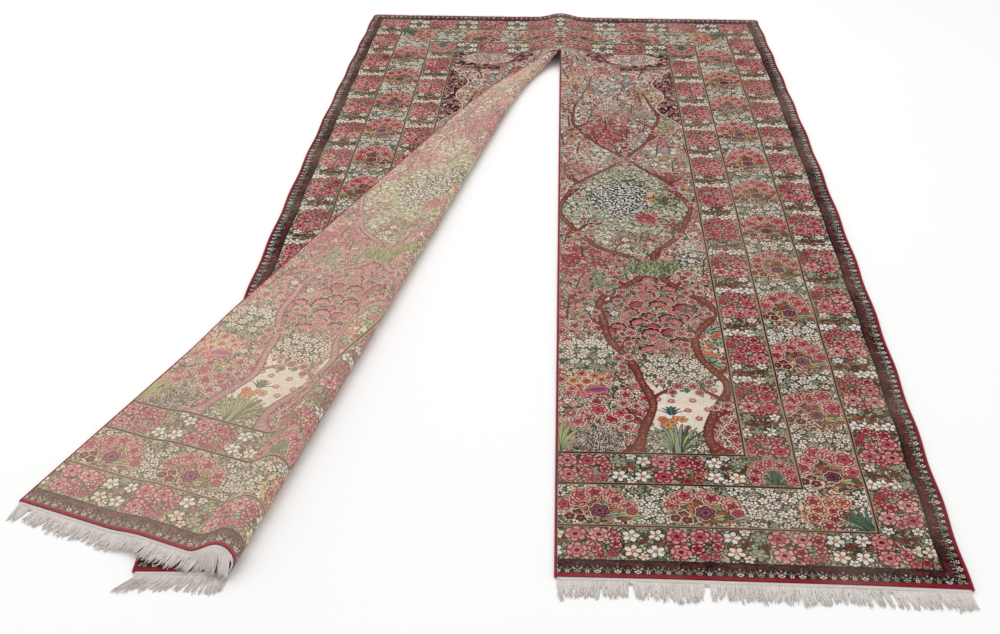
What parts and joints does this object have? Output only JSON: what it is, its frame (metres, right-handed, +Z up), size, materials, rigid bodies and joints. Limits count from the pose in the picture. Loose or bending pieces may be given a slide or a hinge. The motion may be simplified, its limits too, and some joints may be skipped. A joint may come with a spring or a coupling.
{
  "type": "persian rug",
  "caption": "Knotted-pile Persian rug with a garden design and a long centre slit, lying face up with the inner half of its left panel folded back over it.",
  "frame": {"origin": "centre of the whole outline at floor level, fringe and folded flap included", "axes": "+Y along the rug's length from the slit's open end to the closed end, +Z up from the floor, face of the pile up"},
  "size_m": [1.6892, 3.0763, 0.0515],
  "materials": {
    "pile": "short wool pile, multicoloured",
    "cord": "overcast wool, crimson",
    "fringe": "undyed cotton warp ends"
  },
  "bodies": {
    "root": {"pile_cloth": "pile", "side_cord_left": "cord", "side_cord_right": "cord", "slit_cord_left": "cord", "slit_cord_right": "cord", "fringe_top": "fringe", "fringe_right_panel": "fringe", "fringe_left_panel": "fringe", "fringe_flap": "fringe"}
  },
  "joints": []
}
